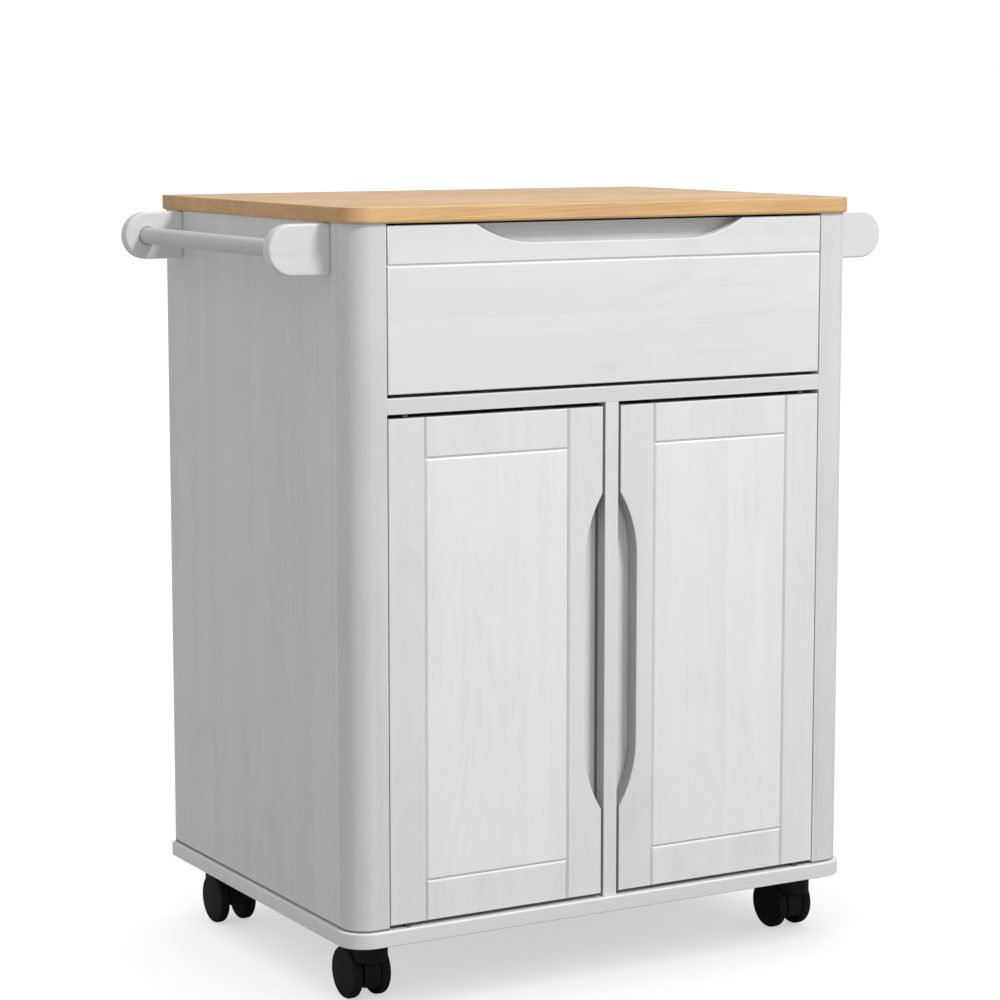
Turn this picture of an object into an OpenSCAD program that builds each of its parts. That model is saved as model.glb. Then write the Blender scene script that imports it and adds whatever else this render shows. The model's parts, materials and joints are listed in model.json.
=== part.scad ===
// Kitchen island cart: a cupboard with a drawer over two doors, a pine worktop,
// a towel bar on each side, and four twin-wheel swivel casters.
// X runs to the right, Y to the back and Z up. The origin is on the floor, under the middle.

/* [Case] */
// Width of the case over its side panels
case_w = 598; // [580:1:640]
// Depth of the case, from the front of the posts to the back edge of the side panels
case_d = 436; // [430:1:470]
// Height of the case between the base board and the top board
case_h = 702; // [690:1:740]
// Thickness of the main boards, doors and drawer front
board_t = 16; // [15:0.5:18]
// Width of a corner post, seen from the front
post_w = 41; // [36:1:50]
// Depth of a corner post
post_d = 32; // [28:1:40]
// Radius of a corner post's outer front edge
post_r = 25; // [10:1:26]

/* [Worktop and base] */
// How far the top and base boards stand out past the front and the sides
front_lip = 4; // [2:1:12]
// How far the top and base boards stand out past the back
back_lip = 2; // [1:1:8]
// Radius of the boards' front corners
lip_r = 29; // [5:1:35]
// Radius of the boards' back corners
back_r = 3; // [1:1:10]

/* [Doors] */
// Width of a door frame's stiles and rails
frame_w = 41; // [38:1:50]
// Gap between a door and the centre stile
meeting_gap = 2.75; // [1.5:0.25:3]
// Gap between a door, or the drawer front, and its post
post_gap = 1; // [1:0.25:2]
// Gap above and below the doors
level_gap = 4.1; // [2:0.1:4.5]
// Height of the middle rail's underside above the base board
door_opening_h = 516; // [490:1:520]
// Thickness of a door's inset panel
panel_t = 10; // [8:0.5:12]
// Depth of the vee grooves, which are twice as wide as they are deep
vee = 2; // [0.5:0.1:2.2]

/* [Drawer] */
// Height of the drawer front's vee groove below its top edge
drawer_vee_drop = 39; // [30:1:80]
// Thickness of the drawer box's boards
box_t = 12; // [10:1:14]
// Height of the drawer box's sides
box_h = 120; // [80:1:122]
// Length of the drawer box behind the drawer front
box_l = 350; // [300:10:350]

/* [Grips] */
// Depth of a grip cut-out
grip_depth = 20; // [15:0.1:24]
// Length of the straight part of the drawer's grip cut-out
drawer_grip_flat = 181; // [120:1:220]
// Length of the straight part of a door's grip cut-out
door_grip_flat = 193; // [120:1:220]
// Radius of a grip cut-out's end curves
grip_r = 125; // [80:1:140]
// Radius that eases the corner where a grip cut-out meets the edge
grip_ease = 6; // [2:0.5:10]

/* [Side handles] */
// Height of a handle plate, which is also the diameter of its round end
plate_h = 50; // [40:1:60]
// Thickness of a handle plate
plate_t = 15; // [12:1:18]
// Distance from the side panel to the end of a handle plate
plate_reach = 66; // [55:1:75]
// Diameter of the handle bar
bar_d = 18; // [14:1:22]
// Distance from the case's front to the front handle plate
plate_inset_front = 39; // [33:1:60]
// Distance from the case's back to the rear handle plate
plate_inset_rear = 30.5; // [20:0.5:60]

/* [Casters] */
// Height of a caster from the floor to the base board
caster_h = 66; // [66:1:80]
// Diameter of a caster wheel
wheel_d = 54; // [48:1:56]
// Width of one caster wheel
wheel_w = 11; // [9:0.5:12]
// Gap between a caster's two wheels
wheel_gap = 20.5; // [18:0.5:26]
// Distance from the swivel axis back to the axle
trail = 19.5; // [16:0.5:22]
// Distance from the swivel axis to the case's side
caster_side = 38.5; // [34:0.5:60]
// Distance from the case's front to the front casters' swivel axis
caster_front = 39; // [34:0.5:70]
// Distance from the case's back to the rear casters' swivel axis
caster_rear = 38; // [34:0.5:70]

/* [Hidden] */

$fn = 96;
WHITE = "#E8E8E6";
PINE = "#D3A668";
BLACK = "#1C1C1C";
STEEL = "#B4B7BA";
ZINC = "#9A9EA3";

// A cut runs this far past the face that it opens
past = 1;
// Radial clearance of a pin, a screw or a bar in its hole
fit = 0.05;

// Case: the planes that everything else is placed from
top_w = case_w + 2 * front_lip;
top_d = front_lip + case_d + back_lip;
front_y = front_lip - top_d / 2;
back_y = front_y + case_d;
case_z = caster_h + board_t;
top_z = case_z + case_h;
half_w = case_w / 2;
inner_x = half_w - board_t;
opening_x = half_w - post_w;
post_back_y = front_y + post_d;
door_back_y = front_y + board_t;

// Back panel, which slides in a groove in each side panel
back_t = 4;
back_inset = 4;
back_groove = 6;
groove_play = 0.2;
back_end_play = 0.5;
back_panel_y = back_y - back_inset - back_t;
rear_rail_h = 40;

// Middle rail and the centre divider in front of the cupboard
rail_z = case_z + door_opening_h;
rail_d = 67;
stile_w = 16;
backing_gap = 1;
stile_d = board_t + backing_gap;
backing_w = 80;
backing_drop = 40;
backing_y = front_y + stile_d;

// Shelf on four pins, with holes for three heights
shelf_z = 330;
shelf_play = 0.5;
shelf_set_back = 52;
shelf_rear_gap = 6;
shelf_front_y = front_y + shelf_set_back;
shelf_back_y = back_panel_y - shelf_rear_gap;
pin_r = 2.5;
pin_in = 8;
pin_out = 9;
pin_inset = 35;
pin_spots_y = [shelf_front_y + pin_inset, shelf_back_y - pin_inset];
pin_pitch = 40;

// Drawer
drawer_gap_below = 3.5;
drawer_gap_above = 2.2;
drawer_z = rail_z + board_t + drawer_gap_below;
drawer_top_z = top_z - drawer_gap_above;
subfront_inset = 0.5;
box_rise = 8;
box_bottom_z = rail_z + board_t + box_rise;
slide_gap_w = 13;
box_x = opening_x - slide_gap_w;
box_front_y = door_back_y + box_t;
bottom_t = 5;
bottom_groove = 5.5;
bottom_rise = 10;
bottom_z = box_bottom_z + bottom_rise;

// Drawer slides: three nested channels on each side, as deep as the gap beside the box
slide_z = box_bottom_z + box_h / 2;
slide_set_back = 2;
slide_y = door_back_y + slide_set_back;
slide_l = box_l;
slide_t = 1.2;
outer_half_h = 22.5;
outer_flange = 8;
middle_half_h = 20.1;
middle_web = 2;
middle_flange = 9.6;
middle_l = slide_l - 8;
inner_half_h = 17.5;
inner_flange = 4.8;
packer_h = 60;

// Doors
door_x0 = stile_w / 2 + meeting_gap;
door_x1 = opening_x - post_gap;
door_z0 = case_z + level_gap;
door_z1 = rail_z - level_gap;
door_mid_z = (door_z0 + door_z1) / 2;
panel_x0 = door_x0 + frame_w;
panel_x1 = door_x1 - frame_w;
tongue_t = 5;
tongue_l = 8;
tongue_y = front_y + 3.5;
tongue_play = 0.2;
tongue_end_play = 0.5;
tenon_gap = 0.5;

// Door pivots: a collared pin at the top and the bottom of each hinge stile
pivot_r = 2.5;
pivot_x = door_x1 - frame_w / 2;
pivot_y = front_y + 5;
pivot_in = 10;
pivot_up = 14;
pivot_end_play = 2;
collar_r = 3.5;
collar_play = 0.2;

// Magnetic catches behind the doors' top rails
catch_x0 = panel_x0 + 5;
catch_w = 38;
catch_h = 18;
catch_d = 16;
strike_t = 1.2;
strike_h = 13;
strike_gap = 0.4;
strike_drop = 2;

// Side handles
plate_r = plate_h / 2;
plate_drop = 0.5;
plate_z = top_z - plate_drop - plate_h;
bar_x = half_w + plate_reach - plate_r;
bar_z = plate_z + plate_r;
bar_in = 8;
plate_front_y = front_y + plate_inset_front;
plate_rear_y = back_y - plate_inset_rear - plate_t;
plate_screw_rise = 17;

// Wood screws with countersunk heads
screw_l = 45;
screw_r = 2.5;
screw_head_r = 4.6;
screw_head_h = 3;
base_screws = [
    [half_w - board_t / 2, front_y + 97],
    [half_w - board_t / 2, front_y + 247],
    [half_w - board_t / 2, back_y - 39],
    [opening_x + 14, front_y + 11],
    [20, backing_y + board_t / 2]
];

// Casters: two thin wheels with the hood's body between them
wheel_r = wheel_d / 2;
wheel_edge_r = 3.5;
wheel_dome = 0.8;
hub_r = 9;
rim_play = 1.2;
body_play = 1;
body_w = wheel_gap - 2 * body_play;
body_r = wheel_r - 1;
front_lip_z = wheel_r - 13;
rear_lip_z = wheel_r - 3;
neck_r = 18;
neck_z0 = wheel_r + 16;
caster_plate_t = 3.6;
caster_plate_w = 44;
caster_plate_z = caster_h - caster_plate_t;
neck_play = 0.6;
neck_z1 = caster_plate_z - neck_play;
stem_r = 5;
stem_head_r = 8;
stem_head_z = caster_h - 2;
stem_head_h = 1.6;
axle_r = 3;
axle_in = 7;
axle_l = wheel_gap + 2 * axle_in;
plate_hole = 17;
caster_screw_r = 1.9;
caster_screw_up = 10;
caster_screw_head_r = 3.5;
caster_screw_head_h = 1.8;
swivel_x = half_w - caster_side;
swivel_front_y = front_y + caster_front;
swivel_rear_y = back_y - caster_rear;

// ---- Shared shapes ----

// A box from its lowest corner to its highest corner
module block(low, high) {
    translate(low) cube(high - low);
}

// The same shape on the other side of the cart
module left_side() {
    mirror([1, 0, 0]) children();
}

// One shape on each side of the cart
module both_sides() {
    children();
    left_side() children();
}

// What a rounded corner takes off a square corner at the origin, with the material towards +X and +Y
module corner_waste(r) {
    difference() {
        translate([-past, -past]) square(r + past);
        translate([r, r]) circle(r);
    }
}

// A 45 degree cut along X, centred on an edge at the origin
module edge_cut_x(length, depth) {
    rotate([45, 0, 0]) cube([length, depth * sqrt(2), depth * sqrt(2)], center = true);
}

// The same cut along Z
module edge_cut_z(length, depth) {
    rotate([0, 0, 45]) cube([depth * sqrt(2), depth * sqrt(2), length], center = true);
}

// Outline that a grip cut-out takes from an edge along X, with the material towards +Y:
// flat is the length of its straight part
module grip_waste(flat) {
    rise = grip_r - grip_depth;
    ease_x = flat / 2 + sqrt(pow(grip_r + grip_ease, 2) - pow(rise + grip_ease, 2));
    share = grip_r / (grip_r + grip_ease);
    touch_x = flat / 2 + (ease_x - flat / 2) * share;
    touch_y = (rise + grip_ease) * share - rise;
    translate([-flat / 2, -past]) square([flat, grip_depth + past]);
    for (side = [0, 1]) mirror([side, 0]) {
        intersection() {
            translate([flat / 2, -rise]) circle(grip_r, $fn = 240);
            translate([0, -past]) square([ease_x, grip_depth + past]);
        }
        difference() {
            polygon([[touch_x, touch_y], [ease_x, 0], [ease_x, -past], [touch_x - past, -past]]);
            translate([ease_x, grip_ease]) circle(grip_ease);
        }
    }
}

// A wood screw with its head's face at the origin, pointing up
module screw(play = 0) {
    cylinder(h = screw_l + play, r = screw_r + play);
    cylinder(h = screw_head_h, r1 = screw_head_r + play, r2 = screw_r + play);
}

// ---- Case ----

module board_outline() {
    difference() {
        translate([-top_w / 2, -top_d / 2]) square([top_w, top_d]);
        for (side = [0, 1]) mirror([side, 0]) {
            translate([-top_w / 2, -top_d / 2]) corner_waste(lip_r);
            translate([-top_w / 2, top_d / 2]) mirror([0, 1]) corner_waste(back_r);
        }
    }
}

// Screws that go up through the base board
module base_screw_set(play = 0) {
    both_sides() for (spot = base_screws) {
        translate([spot[0], spot[1], caster_h]) screw(play);
    }
}

// Screws that go from inside the case into the right handle's plates
module handle_screw_set(play = 0) {
    for (y = [plate_front_y, plate_rear_y]) for (side = [-1, 1]) {
        translate([inner_x, y + plate_t / 2, bar_z + side * plate_screw_rise])
            rotate([0, 90, 0]) screw(play);
    }
}

module top_board() {
    color(PINE) translate([0, 0, top_z]) linear_extrude(board_t) board_outline();
}

module base_board() {
    color(WHITE) difference() {
        translate([0, 0, caster_h]) linear_extrude(board_t) board_outline();
        base_screw_set(fit);
        caster_screw_set(fit);
        both_sides() translate([pivot_x, pivot_y, case_z - pivot_in])
            cylinder(h = pivot_in + past, r = pivot_r + fit);
    }
}

module side_panel() {
    color(WHITE) difference() {
        block([inner_x, post_back_y, case_z], [half_w, back_y, top_z]);
        block([inner_x - past, back_panel_y - groove_play, case_z - past],
            [inner_x + back_groove, back_panel_y + back_t + groove_play, top_z + past]);
        for (y = pin_spots_y) for (step = [-1 : 1]) {
            translate([inner_x - past, y, shelf_z - pin_r + step * pin_pitch]) rotate([0, 90, 0])
                cylinder(h = pin_in + past + fit, r = pin_r + fit);
        }
        base_screw_set(fit);
        handle_screw_set(fit);
    }
}

module side_panel_left() {
    left_side() side_panel();
}

module side_panel_right() {
    side_panel();
}

module corner_post() {
    color(WHITE) difference() {
        translate([0, 0, case_z]) linear_extrude(case_h) difference() {
            translate([opening_x, front_y]) square([post_w, post_d]);
            translate([half_w, front_y]) mirror([1, 0]) corner_waste(post_r);
        }
        base_screw_set(fit);
    }
}

module corner_post_left() {
    left_side() corner_post();
}

module corner_post_right() {
    corner_post();
}

module back_panel() {
    reach = inner_x + back_groove - back_end_play;
    color(WHITE) block([-reach, back_panel_y, case_z], [reach, back_panel_y + back_t, top_z]);
}

module rear_rail() {
    color(WHITE) block([-inner_x, back_panel_y - board_t, top_z - rear_rail_h],
        [inner_x, back_panel_y, top_z]);
}

module middle_rail() {
    color(WHITE) difference() {
        block([-opening_x, front_y, rail_z], [opening_x, front_y + rail_d, rail_z + board_t]);
        both_sides() translate([pivot_x, pivot_y, rail_z - past])
            cylinder(h = pivot_in + past, r = pivot_r + fit);
    }
}

module centre_stile() {
    color(WHITE) block([-stile_w / 2, front_y, case_z], [stile_w / 2, backing_y, rail_z]);
}

module centre_backing() {
    color(WHITE) difference() {
        block([-backing_w / 2, backing_y, case_z],
            [backing_w / 2, backing_y + board_t, rail_z - backing_drop]);
        base_screw_set(fit);
    }
}

module shelf() {
    reach = inner_x - shelf_play;
    color(WHITE) block([-reach, shelf_front_y, shelf_z], [reach, shelf_back_y, shelf_z + board_t]);
}

module shelf_pins() {
    color(STEEL) both_sides() for (y = pin_spots_y) {
        translate([inner_x - pin_out, y, shelf_z - pin_r]) rotate([0, 90, 0])
            cylinder(h = pin_out + pin_in, r = pin_r);
    }
}

module frame_screws() {
    color(ZINC) {
        base_screw_set();
        both_sides() handle_screw_set();
    }
}

// ---- Drawer slides ----

// A channel of the right slide: its web and its two flanges, measured from the packer's face inwards
module slide_channel(web_at, flange_from, flange_to, outer_half, length) {
    for (side = [-1, 1]) {
        low_z = side > 0 ? outer_half - slide_t : -outer_half;
        block([opening_x - flange_to, slide_y, slide_z + low_z],
            [opening_x - flange_from, slide_y + length, slide_z + low_z + slide_t]);
    }
    block([opening_x - web_at - slide_t, slide_y, slide_z - outer_half],
        [opening_x - web_at, slide_y + length, slide_z + outer_half]);
}

module slide_packers() {
    color(WHITE) both_sides() block([opening_x, post_back_y, slide_z - packer_h / 2],
        [inner_x, post_back_y + slide_l, slide_z + packer_h / 2]);
}

module slide_outers() {
    color(ZINC) both_sides() slide_channel(0, 0, outer_flange, outer_half_h, slide_l);
}

module slide_middles() {
    color(ZINC) both_sides()
        slide_channel(middle_web, middle_web, middle_flange, middle_half_h, middle_l);
}

module slide_inners() {
    color(ZINC) both_sides()
        slide_channel(slide_gap_w - slide_t, inner_flange, slide_gap_w, inner_half_h, slide_l);
}

// ---- Drawer ----

// The groove that holds the drawer bottom, as a block that is cut from the box's boards
module bottom_block(play = 0) {
    reach_x = box_x - box_t + bottom_groove + play;
    block([-reach_x, box_front_y - bottom_groove - play, bottom_z - play],
        [reach_x, box_front_y + box_l - box_t + bottom_groove + play, bottom_z + bottom_t + play]);
}

module drawer_front() {
    reach = opening_x - post_gap;
    color(WHITE) difference() {
        block([-reach, front_y, drawer_z], [reach, door_back_y, drawer_top_z]);
        translate([0, front_y, drawer_top_z - drawer_vee_drop])
            edge_cut_x(2 * reach + 2 * past, vee);
        translate([0, front_y - past, drawer_top_z]) rotate([-90, 0, 0])
            linear_extrude(board_t + 2 * past) grip_waste(drawer_grip_flat);
    }
}

module drawer_subfront() {
    color(WHITE) difference() {
        block([-box_x, door_back_y, drawer_z + subfront_inset],
            [box_x, box_front_y, drawer_top_z - subfront_inset]);
        bottom_block(groove_play);
    }
}

module drawer_side() {
    color(WHITE) difference() {
        block([box_x - box_t, box_front_y, box_bottom_z],
            [box_x, box_front_y + box_l, box_bottom_z + box_h]);
        bottom_block(groove_play);
    }
}

module drawer_side_left() {
    left_side() drawer_side();
}

module drawer_side_right() {
    drawer_side();
}

module drawer_back() {
    reach = box_x - box_t;
    color(WHITE) difference() {
        block([-reach, box_front_y + box_l - box_t, box_bottom_z],
            [reach, box_front_y + box_l, box_bottom_z + box_h]);
        bottom_block(groove_play);
    }
}

module drawer_bottom() {
    color(WHITE) bottom_block();
}

// ---- Doors: all of them are drawn for the right-hand door ----

// The groove along a frame piece's inner edge, for the panel and the tenons
module panel_groove(low_x, high_x, low_z, high_z) {
    block([low_x, tongue_y - tongue_play, low_z],
        [high_x, tongue_y + tongue_t + tongue_play, high_z]);
}

module door_stile_outer() {
    color(WHITE) difference() {
        block([panel_x1, front_y, door_z0], [door_x1, door_back_y, door_z1]);
        panel_groove(panel_x1 - past, panel_x1 + tongue_l + tongue_end_play,
            door_z0 - past, door_z1 + past);
        translate([panel_x1, front_y, door_mid_z]) edge_cut_z(door_z1, vee);
        for (z = [door_z0 - past, door_z1 - pivot_up]) {
            translate([pivot_x, pivot_y, z]) cylinder(h = pivot_up + past, r = pivot_r + fit);
        }
    }
}

module door_stile_inner() {
    color(WHITE) difference() {
        block([door_x0, front_y, door_z0], [panel_x0, door_back_y, door_z1]);
        panel_groove(panel_x0 - tongue_l - tongue_end_play, panel_x0 + past,
            door_z0 - past, door_z1 + past);
        translate([panel_x0, front_y, door_mid_z]) edge_cut_z(door_z1, vee);
        translate([door_x0, front_y - past, door_mid_z]) rotate([-90, -90, 0])
            linear_extrude(board_t + 2 * past) grip_waste(door_grip_flat);
    }
}

// One rail, with its inner edge up: from the door's lower edge to the panel
module door_rail() {
    inner_z = door_z0 + frame_w;
    groove_z = inner_z - tongue_l - tongue_end_play;
    mid_x = (panel_x0 + panel_x1) / 2;
    difference() {
        union() {
            block([panel_x0, front_y, door_z0], [panel_x1, door_back_y, inner_z]);
            block([panel_x0 - tongue_l, tongue_y, door_z0],
                [panel_x1 + tongue_l, tongue_y + tongue_t, groove_z - tenon_gap]);
        }
        panel_groove(panel_x0 - past, panel_x1 + past, groove_z, inner_z + past);
        translate([mid_x, front_y, inner_z]) edge_cut_x(door_x1, vee);
        for (x = [panel_x0, panel_x1]) translate([x, front_y, door_z0]) edge_cut_z(door_z1, vee);
    }
}

module door_rails() {
    color(WHITE) {
        door_rail();
        translate([0, 0, 2 * door_mid_z]) mirror([0, 0, 1]) door_rail();
    }
}

module door_panel() {
    low_z = door_z0 + frame_w;
    high_z = door_z1 - frame_w;
    mid_x = (panel_x0 + panel_x1) / 2;
    color(WHITE) difference() {
        union() {
            block([panel_x0, front_y, low_z], [panel_x1, front_y + panel_t, high_z]);
            block([panel_x0 - tongue_l, tongue_y, low_z - tongue_l],
                [panel_x1 + tongue_l, tongue_y + tongue_t, high_z + tongue_l]);
        }
        for (x = [panel_x0, panel_x1]) translate([x, front_y, door_mid_z]) edge_cut_z(door_z1, vee);
        for (z = [low_z, high_z]) translate([mid_x, front_y, z]) edge_cut_x(door_x1, vee);
    }
}

module door_strike() {
    strike_z = door_z1 - strike_drop - strike_h;
    color(ZINC) block([catch_x0, door_back_y, strike_z],
        [catch_x0 + catch_w, door_back_y + strike_t, strike_z + strike_h]);
}

module door_stile_outer_left() {
    left_side() door_stile_outer();
}

module door_stile_inner_left() {
    left_side() door_stile_inner();
}

module door_rails_left() {
    left_side() door_rails();
}

module door_panel_left() {
    left_side() door_panel();
}

module door_strike_left() {
    left_side() door_strike();
}

module door_stile_outer_right() {
    door_stile_outer();
}

module door_stile_inner_right() {
    door_stile_inner();
}

module door_rails_right() {
    door_rails();
}

module door_panel_right() {
    door_panel();
}

module door_strike_right() {
    door_strike();
}

// A pivot pin with its collar on the case's face at the origin, pointing up into the door
module pivot_pin() {
    translate([0, 0, fit - pivot_in])
        cylinder(h = pivot_in + level_gap + pivot_up - pivot_end_play, r = pivot_r);
    cylinder(h = level_gap - collar_play, r = collar_r);
}

module door_pins() {
    color(BLACK) both_sides() {
        translate([pivot_x, pivot_y, case_z]) pivot_pin();
        translate([pivot_x, pivot_y, rail_z]) mirror([0, 0, 1]) pivot_pin();
    }
}

module door_magnets() {
    catch_y = door_back_y + strike_t + strike_gap;
    color(BLACK) both_sides() block([catch_x0, catch_y, rail_z - catch_h],
        [catch_x0 + catch_w, catch_y + catch_d, rail_z]);
}

// ---- Side handles: all of them are drawn for the right-hand side ----

// A plate that stands out from the side panel, with a socket for the bar in one face
module handle_plate(y, socket_y) {
    color(WHITE) difference() {
        translate([0, y + plate_t, 0]) rotate([90, 0, 0]) linear_extrude(plate_t) {
            translate([half_w, plate_z]) square([bar_x - half_w, plate_h]);
            translate([bar_x, bar_z]) circle(plate_r);
        }
        translate([bar_x, socket_y, bar_z]) rotate([-90, 0, 0])
            cylinder(h = bar_in + fit + past, r = bar_d / 2 + fit);
        handle_screw_set(fit);
    }
}

module handle_plate_front() {
    handle_plate(plate_front_y, plate_front_y + plate_t - bar_in - fit);
}

module handle_plate_rear() {
    handle_plate(plate_rear_y, plate_rear_y - past);
}

module handle_bar() {
    low_y = plate_front_y + plate_t - bar_in;
    color(WHITE) translate([bar_x, low_y, bar_z]) rotate([-90, 0, 0])
        cylinder(h = plate_rear_y + bar_in - low_y, r = bar_d / 2);
}

module handle_plate_front_left() {
    left_side() handle_plate_front();
}

module handle_plate_rear_left() {
    left_side() handle_plate_rear();
}

module handle_bar_left() {
    left_side() handle_bar();
}

module handle_plate_front_right() {
    handle_plate_front();
}

module handle_plate_rear_right() {
    handle_plate_rear();
}

module handle_bar_right() {
    handle_bar();
}

// ---- Casters: drawn on the swivel axis, trailing towards +Y ----

// The right-hand front caster's place. The rear casters trail forwards.
module front_spot() {
    translate([swivel_x, swivel_front_y, 0]) children();
}

module rear_spot() {
    translate([swivel_x, swivel_rear_y, 0]) mirror([0, 1, 0]) children();
}

module every_caster() {
    both_sides() {
        front_spot() children();
        rear_spot() children();
    }
}

// A cylinder along X, centred on the axle
module on_axle(r, width, x = 0) {
    translate([x, trail, wheel_r]) rotate([0, 90, 0]) cylinder(h = width, r = r, center = true);
}

module caster_screw_set(play = 0) {
    every_caster() for (x = [-plate_hole, plate_hole]) for (y = [-plate_hole, plate_hole]) {
        translate([x, y, caster_plate_z]) {
            cylinder(h = caster_plate_t + caster_screw_up + play, r = caster_screw_r + play);
            translate([0, 0, -caster_screw_head_h])
                cylinder(h = caster_screw_head_h, r = caster_screw_head_r);
        }
    }
}

module caster_screws() {
    color(ZINC) caster_screw_set();
}

module caster_plates() {
    color(BLACK) difference() {
        every_caster() translate([-caster_plate_w / 2, -caster_plate_w / 2, caster_plate_z])
            cube([caster_plate_w, caster_plate_w, caster_plate_t]);
        every_caster() {
            translate([0, 0, caster_plate_z - past])
                cylinder(h = caster_plate_t + 2 * past, r = stem_r + 2 * fit);
            translate([0, 0, stem_head_z])
                cylinder(h = caster_h - stem_head_z + past, r = stem_head_r + 2 * fit);
        }
        caster_screw_set(fit);
    }
}

// The hood's body from the side: a disc that is cut off along a line from its front lip to its rear lip
module body_outline() {
    low_y = trail - body_r;
    high_y = trail + body_r;
    top_z = wheel_r + body_r;
    intersection() {
        translate([trail, wheel_r]) circle(body_r);
        polygon([[low_y, front_lip_z], [high_y, rear_lip_z], [high_y, top_z], [low_y, top_z]]);
    }
}

module caster_hood() {
    well_w = neck_r - body_w / 2 + past;
    color(BLACK) {
        difference() {
            union() {
                rotate([90, 0, 90]) translate([0, 0, -body_w / 2])
                    linear_extrude(body_w) body_outline();
                translate([0, 0, neck_z0]) cylinder(h = neck_z1 - neck_z0, r = neck_r);
            }
            for (side = [-1, 1]) {
                on_axle(wheel_r + rim_play, well_w, side * (body_w + well_w) / 2);
            }
            on_axle(axle_r + fit, axle_l);
        }
        translate([0, 0, neck_z1 - past]) cylinder(h = stem_head_z - neck_z1 + 2 * past, r = stem_r);
        translate([0, 0, stem_head_z + fit]) cylinder(h = stem_head_h, r = stem_head_r);
    }
}

module caster_axle() {
    color(STEEL) on_axle(axle_r, axle_l);
}

// Half of a wheel's section: X is the distance from the axle and Y runs along it, outwards
module wheel_section() {
    r = wheel_edge_r;
    rim_x = wheel_r - r;
    dome_y = wheel_w + wheel_dome;
    difference() {
        union() {
            polygon([[0, 0], [rim_x, 0], [rim_x, wheel_w], [hub_r, dome_y], [0, dome_y]]);
            translate([0, r]) square([wheel_r, wheel_w - 2 * r]);
            for (y = [r, wheel_w - r]) translate([rim_x, y]) circle(r);
        }
        translate([-wheel_r, -past]) square([wheel_r, dome_y + 2 * past]);
    }
}

// A wheel with a blind bore for the axle; side is 1 towards +X and -1 towards -X
module caster_wheel(side) {
    color(BLACK) difference() {
        translate([side * wheel_gap / 2, trail, wheel_r]) rotate([0, side * 90, 0])
            rotate_extrude() wheel_section();
        on_axle(axle_r + fit, axle_l + 2 * fit);
    }
}

module caster_hood_front_left() {
    left_side() front_spot() caster_hood();
}

module caster_axle_front_left() {
    left_side() front_spot() caster_axle();
}

module caster_wheel_front_left_outer() {
    left_side() front_spot() caster_wheel(1);
}

module caster_wheel_front_left_inner() {
    left_side() front_spot() caster_wheel(-1);
}

module caster_hood_front_right() {
    front_spot() caster_hood();
}

module caster_axle_front_right() {
    front_spot() caster_axle();
}

module caster_wheel_front_right_outer() {
    front_spot() caster_wheel(1);
}

module caster_wheel_front_right_inner() {
    front_spot() caster_wheel(-1);
}

module caster_hood_rear_left() {
    left_side() rear_spot() caster_hood();
}

module caster_axle_rear_left() {
    left_side() rear_spot() caster_axle();
}

module caster_wheel_rear_left_outer() {
    left_side() rear_spot() caster_wheel(1);
}

module caster_wheel_rear_left_inner() {
    left_side() rear_spot() caster_wheel(-1);
}

module caster_hood_rear_right() {
    rear_spot() caster_hood();
}

module caster_axle_rear_right() {
    rear_spot() caster_axle();
}

module caster_wheel_rear_right_outer() {
    rear_spot() caster_wheel(1);
}

module caster_wheel_rear_right_inner() {
    rear_spot() caster_wheel(-1);
}

// ---- What is drawn ----

top_board();
base_board();
side_panel_left();
side_panel_right();
corner_post_left();
corner_post_right();
back_panel();
rear_rail();
middle_rail();
centre_stile();
centre_backing();
shelf();
shelf_pins();
slide_packers();
slide_outers();
slide_middles();
slide_inners();
drawer_front();
drawer_subfront();
drawer_side_left();
drawer_side_right();
drawer_back();
drawer_bottom();
door_stile_outer_left();
door_stile_inner_left();
door_rails_left();
door_panel_left();
door_strike_left();
door_stile_outer_right();
door_stile_inner_right();
door_rails_right();
door_panel_right();
door_strike_right();
door_pins();
door_magnets();
handle_plate_front_left();
handle_plate_rear_left();
handle_bar_left();
handle_plate_front_right();
handle_plate_rear_right();
handle_bar_right();
frame_screws();
caster_plates();
caster_screws();
caster_hood_front_left();
caster_axle_front_left();
caster_wheel_front_left_outer();
caster_wheel_front_left_inner();
caster_hood_front_right();
caster_axle_front_right();
caster_wheel_front_right_outer();
caster_wheel_front_right_inner();
caster_hood_rear_left();
caster_axle_rear_left();
caster_wheel_rear_left_outer();
caster_wheel_rear_left_inner();
caster_hood_rear_right();
caster_axle_rear_right();
caster_wheel_rear_right_outer();
caster_wheel_rear_right_inner();
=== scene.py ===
"""Kitchen island cart: painted pine, a honey pine worktop and black twin-wheel casters.

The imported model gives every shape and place. Each wooden board is rebuilt from its own faces
with its edges eased, as a joiner's sandpaper leaves them, and stands for its CAD node. The
hardware keeps its CAD nodes. Every finish is a node material in object coordinates, in metres.
"""
import json
import math

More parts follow.
